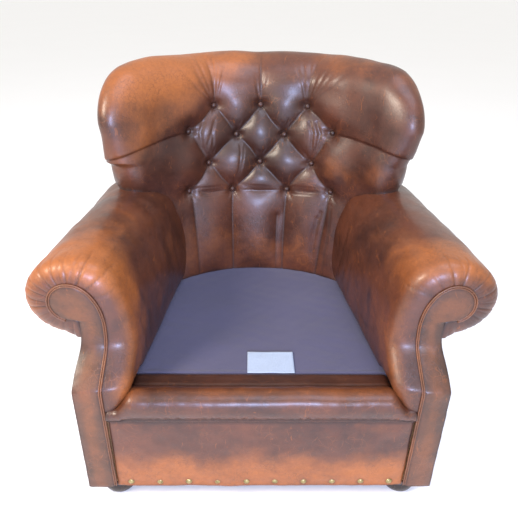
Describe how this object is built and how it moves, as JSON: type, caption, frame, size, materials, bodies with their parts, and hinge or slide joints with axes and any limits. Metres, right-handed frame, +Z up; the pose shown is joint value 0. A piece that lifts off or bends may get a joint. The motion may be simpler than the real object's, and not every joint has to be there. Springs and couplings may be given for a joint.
{
  "type": "worn club chair",
  "caption": "Worn leather club chair with a deep-buttoned winged back, splayed rolled arms, welted scroll fronts and bun feet; the loose seat cushion is missing.",
  "frame": {"origin": "on the floor, under the middle of the overall box", "axes": "+Z up, +X to the right of someone facing the chair, +Y towards the back of the chair"},
  "size_m": [1.0658, 0.8833, 0.9783],
  "materials": {
    "leather": "aged pull-up leather, worn and faded, satin gloss",
    "facing_leather": "aged leather, faded and rubbed, satin",
    "deck_cloth": "plain woven deck cloth",
    "label_cloth": "blank woven patch",
    "webbing": "jute webbing",
    "dust_cloth": "thin non-woven cloth",
    "frame_wood": "sawn hardwood",
    "foot_wood": "turned and stained, satin",
    "brass": "antique brass, dulled"
  },
  "bodies": {
    "root": {"back_button_01": "leather", "back_button_02": "leather", "back_button_03": "leather", "back_button_04": "leather", "back_button_05": "leather", "back_button_06": "leather", "back_button_07": "leather", "back_button_08": "leather", "back_button_09": "leather", "back_button_10": "leather", "back_button_11": "leather", "back_button_12": "leather", "back_button_13": "leather", "back_button_14": "leather", "back_lower_rail": "frame_wood", "back_pad": "leather", "back_rail": "frame_wood", "back_top_rail": "frame_wood", "deck_label": "label_cloth", "dust_cover": "dust_cloth", "front_lip": "leather", "front_nail_01": "brass", "front_nail_02": "brass", "front_nail_03": "brass", "front_nail_04": "brass", "front_nail_05": "brass", "front_nail_06": "brass", "front_nail_07": "brass", "front_nail_08": "brass", "front_nail_09": "brass", "front_nail_10": "brass", "front_panel": "leather", "front_rail": "frame_wood", "left_arm_pad": "leather", "left_arm_rail": "frame_wood", "left_back_foot": "foot_wood", "left_back_post": "frame_wood", "left_facing": "facing_leather", "left_facing_welt": "facing_leather", "left_front_corner_block": "frame_wood", "left_front_foot": "foot_wood", "left_front_post": "frame_wood", "left_outside_arm": "leather", "left_side_rail": "frame_wood", "outside_back": "leather", "right_arm_pad": "leather", "right_arm_rail": "frame_wood", "right_back_foot": "foot_wood", "right_back_post": "frame_wood", "right_facing": "facing_leather", "right_facing_welt": "facing_leather", "right_front_corner_block": "frame_wood", "right_front_foot": "foot_wood", "right_front_post": "frame_wood", "right_outside_arm": "leather", "right_side_rail": "frame_wood", "seat_deck": "deck_cloth", "seat_webbing_1": "webbing", "seat_webbing_2": "webbing", "seat_webbing_3": "webbing"}
  },
  "joints": []
}
